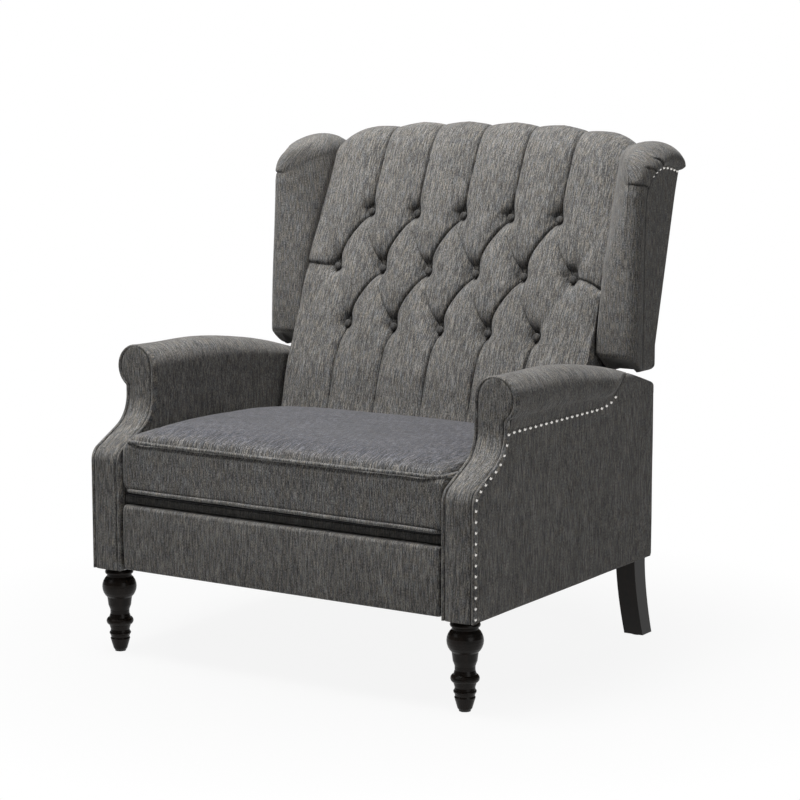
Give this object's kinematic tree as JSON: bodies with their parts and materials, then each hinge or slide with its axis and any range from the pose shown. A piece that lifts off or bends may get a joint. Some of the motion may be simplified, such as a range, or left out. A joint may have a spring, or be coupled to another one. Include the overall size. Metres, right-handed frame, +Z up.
{
  "type": "pushback recliner",
  "caption": "Wide wing-back push-back recliner: padded arms on turned legs, sliding seat, tufted reclining back and a linked footrest.",
  "frame": {"origin": "on the floor, under the middle of the chair's bounding box", "axes": "+X to the viewer's right when looking at the front, the front of the chair faces -Y, +Z up"},
  "size_m": [0.9588, 0.8446, 1.0795],
  "materials": {
    "dark_wood": "glossy dark stain",
    "frame_wood": "raw sawn hardwood",
    "glide_plastic": "matte black",
    "zinc_steel": "zinc-plated",
    "black_steel": "satin black",
    "spring_steel": "oiled spring wire",
    "grey_fabric": "heathered charcoal weave",
    "seat_fabric": "heathered charcoal weave, catching the light",
    "deck_fabric": "plain dark lining",
    "webbing": "elastic webbing",
    "nail_metal": "polished nailheads"
  },
  "bodies": {
    "base": {"front_leg_left": "dark_wood", "front_leg_right": "dark_wood", "rear_leg_left": "dark_wood", "rear_leg_right": "dark_wood", "leg_glides": "glide_plastic", "leg_plates": "zinc_steel", "leg_bolts": "zinc_steel", "arm_front_posts": "frame_wood", "arm_throat_posts": "frame_wood", "arm_rear_posts": "frame_wood", "arm_top_rails": "frame_wood", "arm_bottom_rails": "frame_wood", "arm_inside_panels": "grey_fabric", "arm_outside_panels": "grey_fabric", "arm_facing_left": "grey_fabric", "arm_facing_right": "grey_fabric", "arm_roll_left": "grey_fabric", "arm_roll_right": "grey_fabric", "arm_nails_left": "nail_metal", "arm_nails_right": "nail_metal", "rear_cross_rail": "frame_wood", "middle_stretcher": "frame_wood", "base_rear_panel": "grey_fabric", "seat_tracks": "black_steel", "back_pivot_bolts": "zinc_steel", "back_pivot_spacers": "glide_plastic"},
    "seat": {"seat_front_rail": "grey_fabric", "seat_side_rails": "frame_wood", "seat_rear_rail": "frame_wood", "seat_springs": "spring_steel", "spring_clips": "zinc_steel", "seat_deck": "deck_fabric", "seat_cushion": "seat_fabric", "seat_runners": "zinc_steel", "link_brackets": "zinc_steel", "bracket_pins": "zinc_steel"},
    "back": {"back_posts": "frame_wood", "back_top_rail": "frame_wood", "back_middle_rail": "frame_wood", "back_bottom_rail": "frame_wood", "back_webbing": "webbing", "back_pad": "grey_fabric", "back_buttons": "grey_fabric", "back_outside_panel": "grey_fabric", "back_pivot_plates": "zinc_steel", "wing_left": "grey_fabric", "wing_right": "grey_fabric", "wing_boards": "frame_wood", "wing_nails": "nail_metal"},
    "rear_links": {"rear_links": "zinc_steel", "rear_link_pins": "zinc_steel"},
    "control_links": {"control_links": "zinc_steel", "control_link_pins": "zinc_steel"},
    "front_links": {"front_links": "zinc_steel", "front_link_pins": "zinc_steel"},
    "board_links": {"board_links": "zinc_steel"},
    "footrest": {"footrest_board": "frame_wood", "footrest_pad": "grey_fabric", "footrest_brackets": "zinc_steel", "footrest_bracket_pins": "zinc_steel"}
  },
  "joints": [
    {"name": "seat_slide", "type": "slide", "parent": "base", "child": "seat", "axis": [0, -0.9976, 0.0698], "range_m": [0, 0.075]},
    {"name": "back_recline", "type": "hinge", "parent": "base", "child": "back", "pos_m": [0, 0.26129, 0.5], "axis": [-1, 0, 0], "range_deg": [0, 25]},
    {"name": "rear_link_swing", "type": "hinge", "parent": "seat", "child": "rear_links", "pos_m": [0, -0.2153, 0.3], "axis": [-1, 0, 0], "range_deg": [0, 144.12]},
    {"name": "control_link_swing", "type": "hinge", "parent": "seat", "child": "control_links", "pos_m": [0, -0.2453, 0.289], "axis": [-1, 0, 0], "range_deg": [0, 144.12]},
    {"name": "front_link_swing", "type": "hinge", "parent": "rear_links", "child": "front_links", "pos_m": [0, -0.07328, 0.19605], "axis": [1, 0, 0], "range_deg": [0, 144.12]},
    {"name": "board_link_swing", "type": "hinge", "parent": "rear_links", "child": "board_links", "pos_m": [0, -0.07089, 0.2139], "axis": [1, 0, 0], "range_deg": [0, 147.37]},
    {"name": "footrest_tilt", "type": "hinge", "parent": "front_links", "child": "footrest", "pos_m": [0, -0.372, 0.251], "axis": [-1, 0, 0], "range_deg": [0, 90]}
  ],
  "couplings": [
    {"joint": "back_recline", "follows": "seat_slide", "rad_per_m": 5.8178},
    {"joint": "rear_link_swing", "follows": "seat_slide", "rad_per_m": 33.538},
    {"joint": "control_link_swing", "follows": "seat_slide", "rad_per_m": 33.538},
    {"joint": "front_link_swing", "follows": "seat_slide", "rad_per_m": 33.538},
    {"joint": "board_link_swing", "follows": "seat_slide", "rad_per_m": 34.295},
    {"joint": "footrest_tilt", "follows": "seat_slide", "rad_per_m": 20.944}
  ]
}
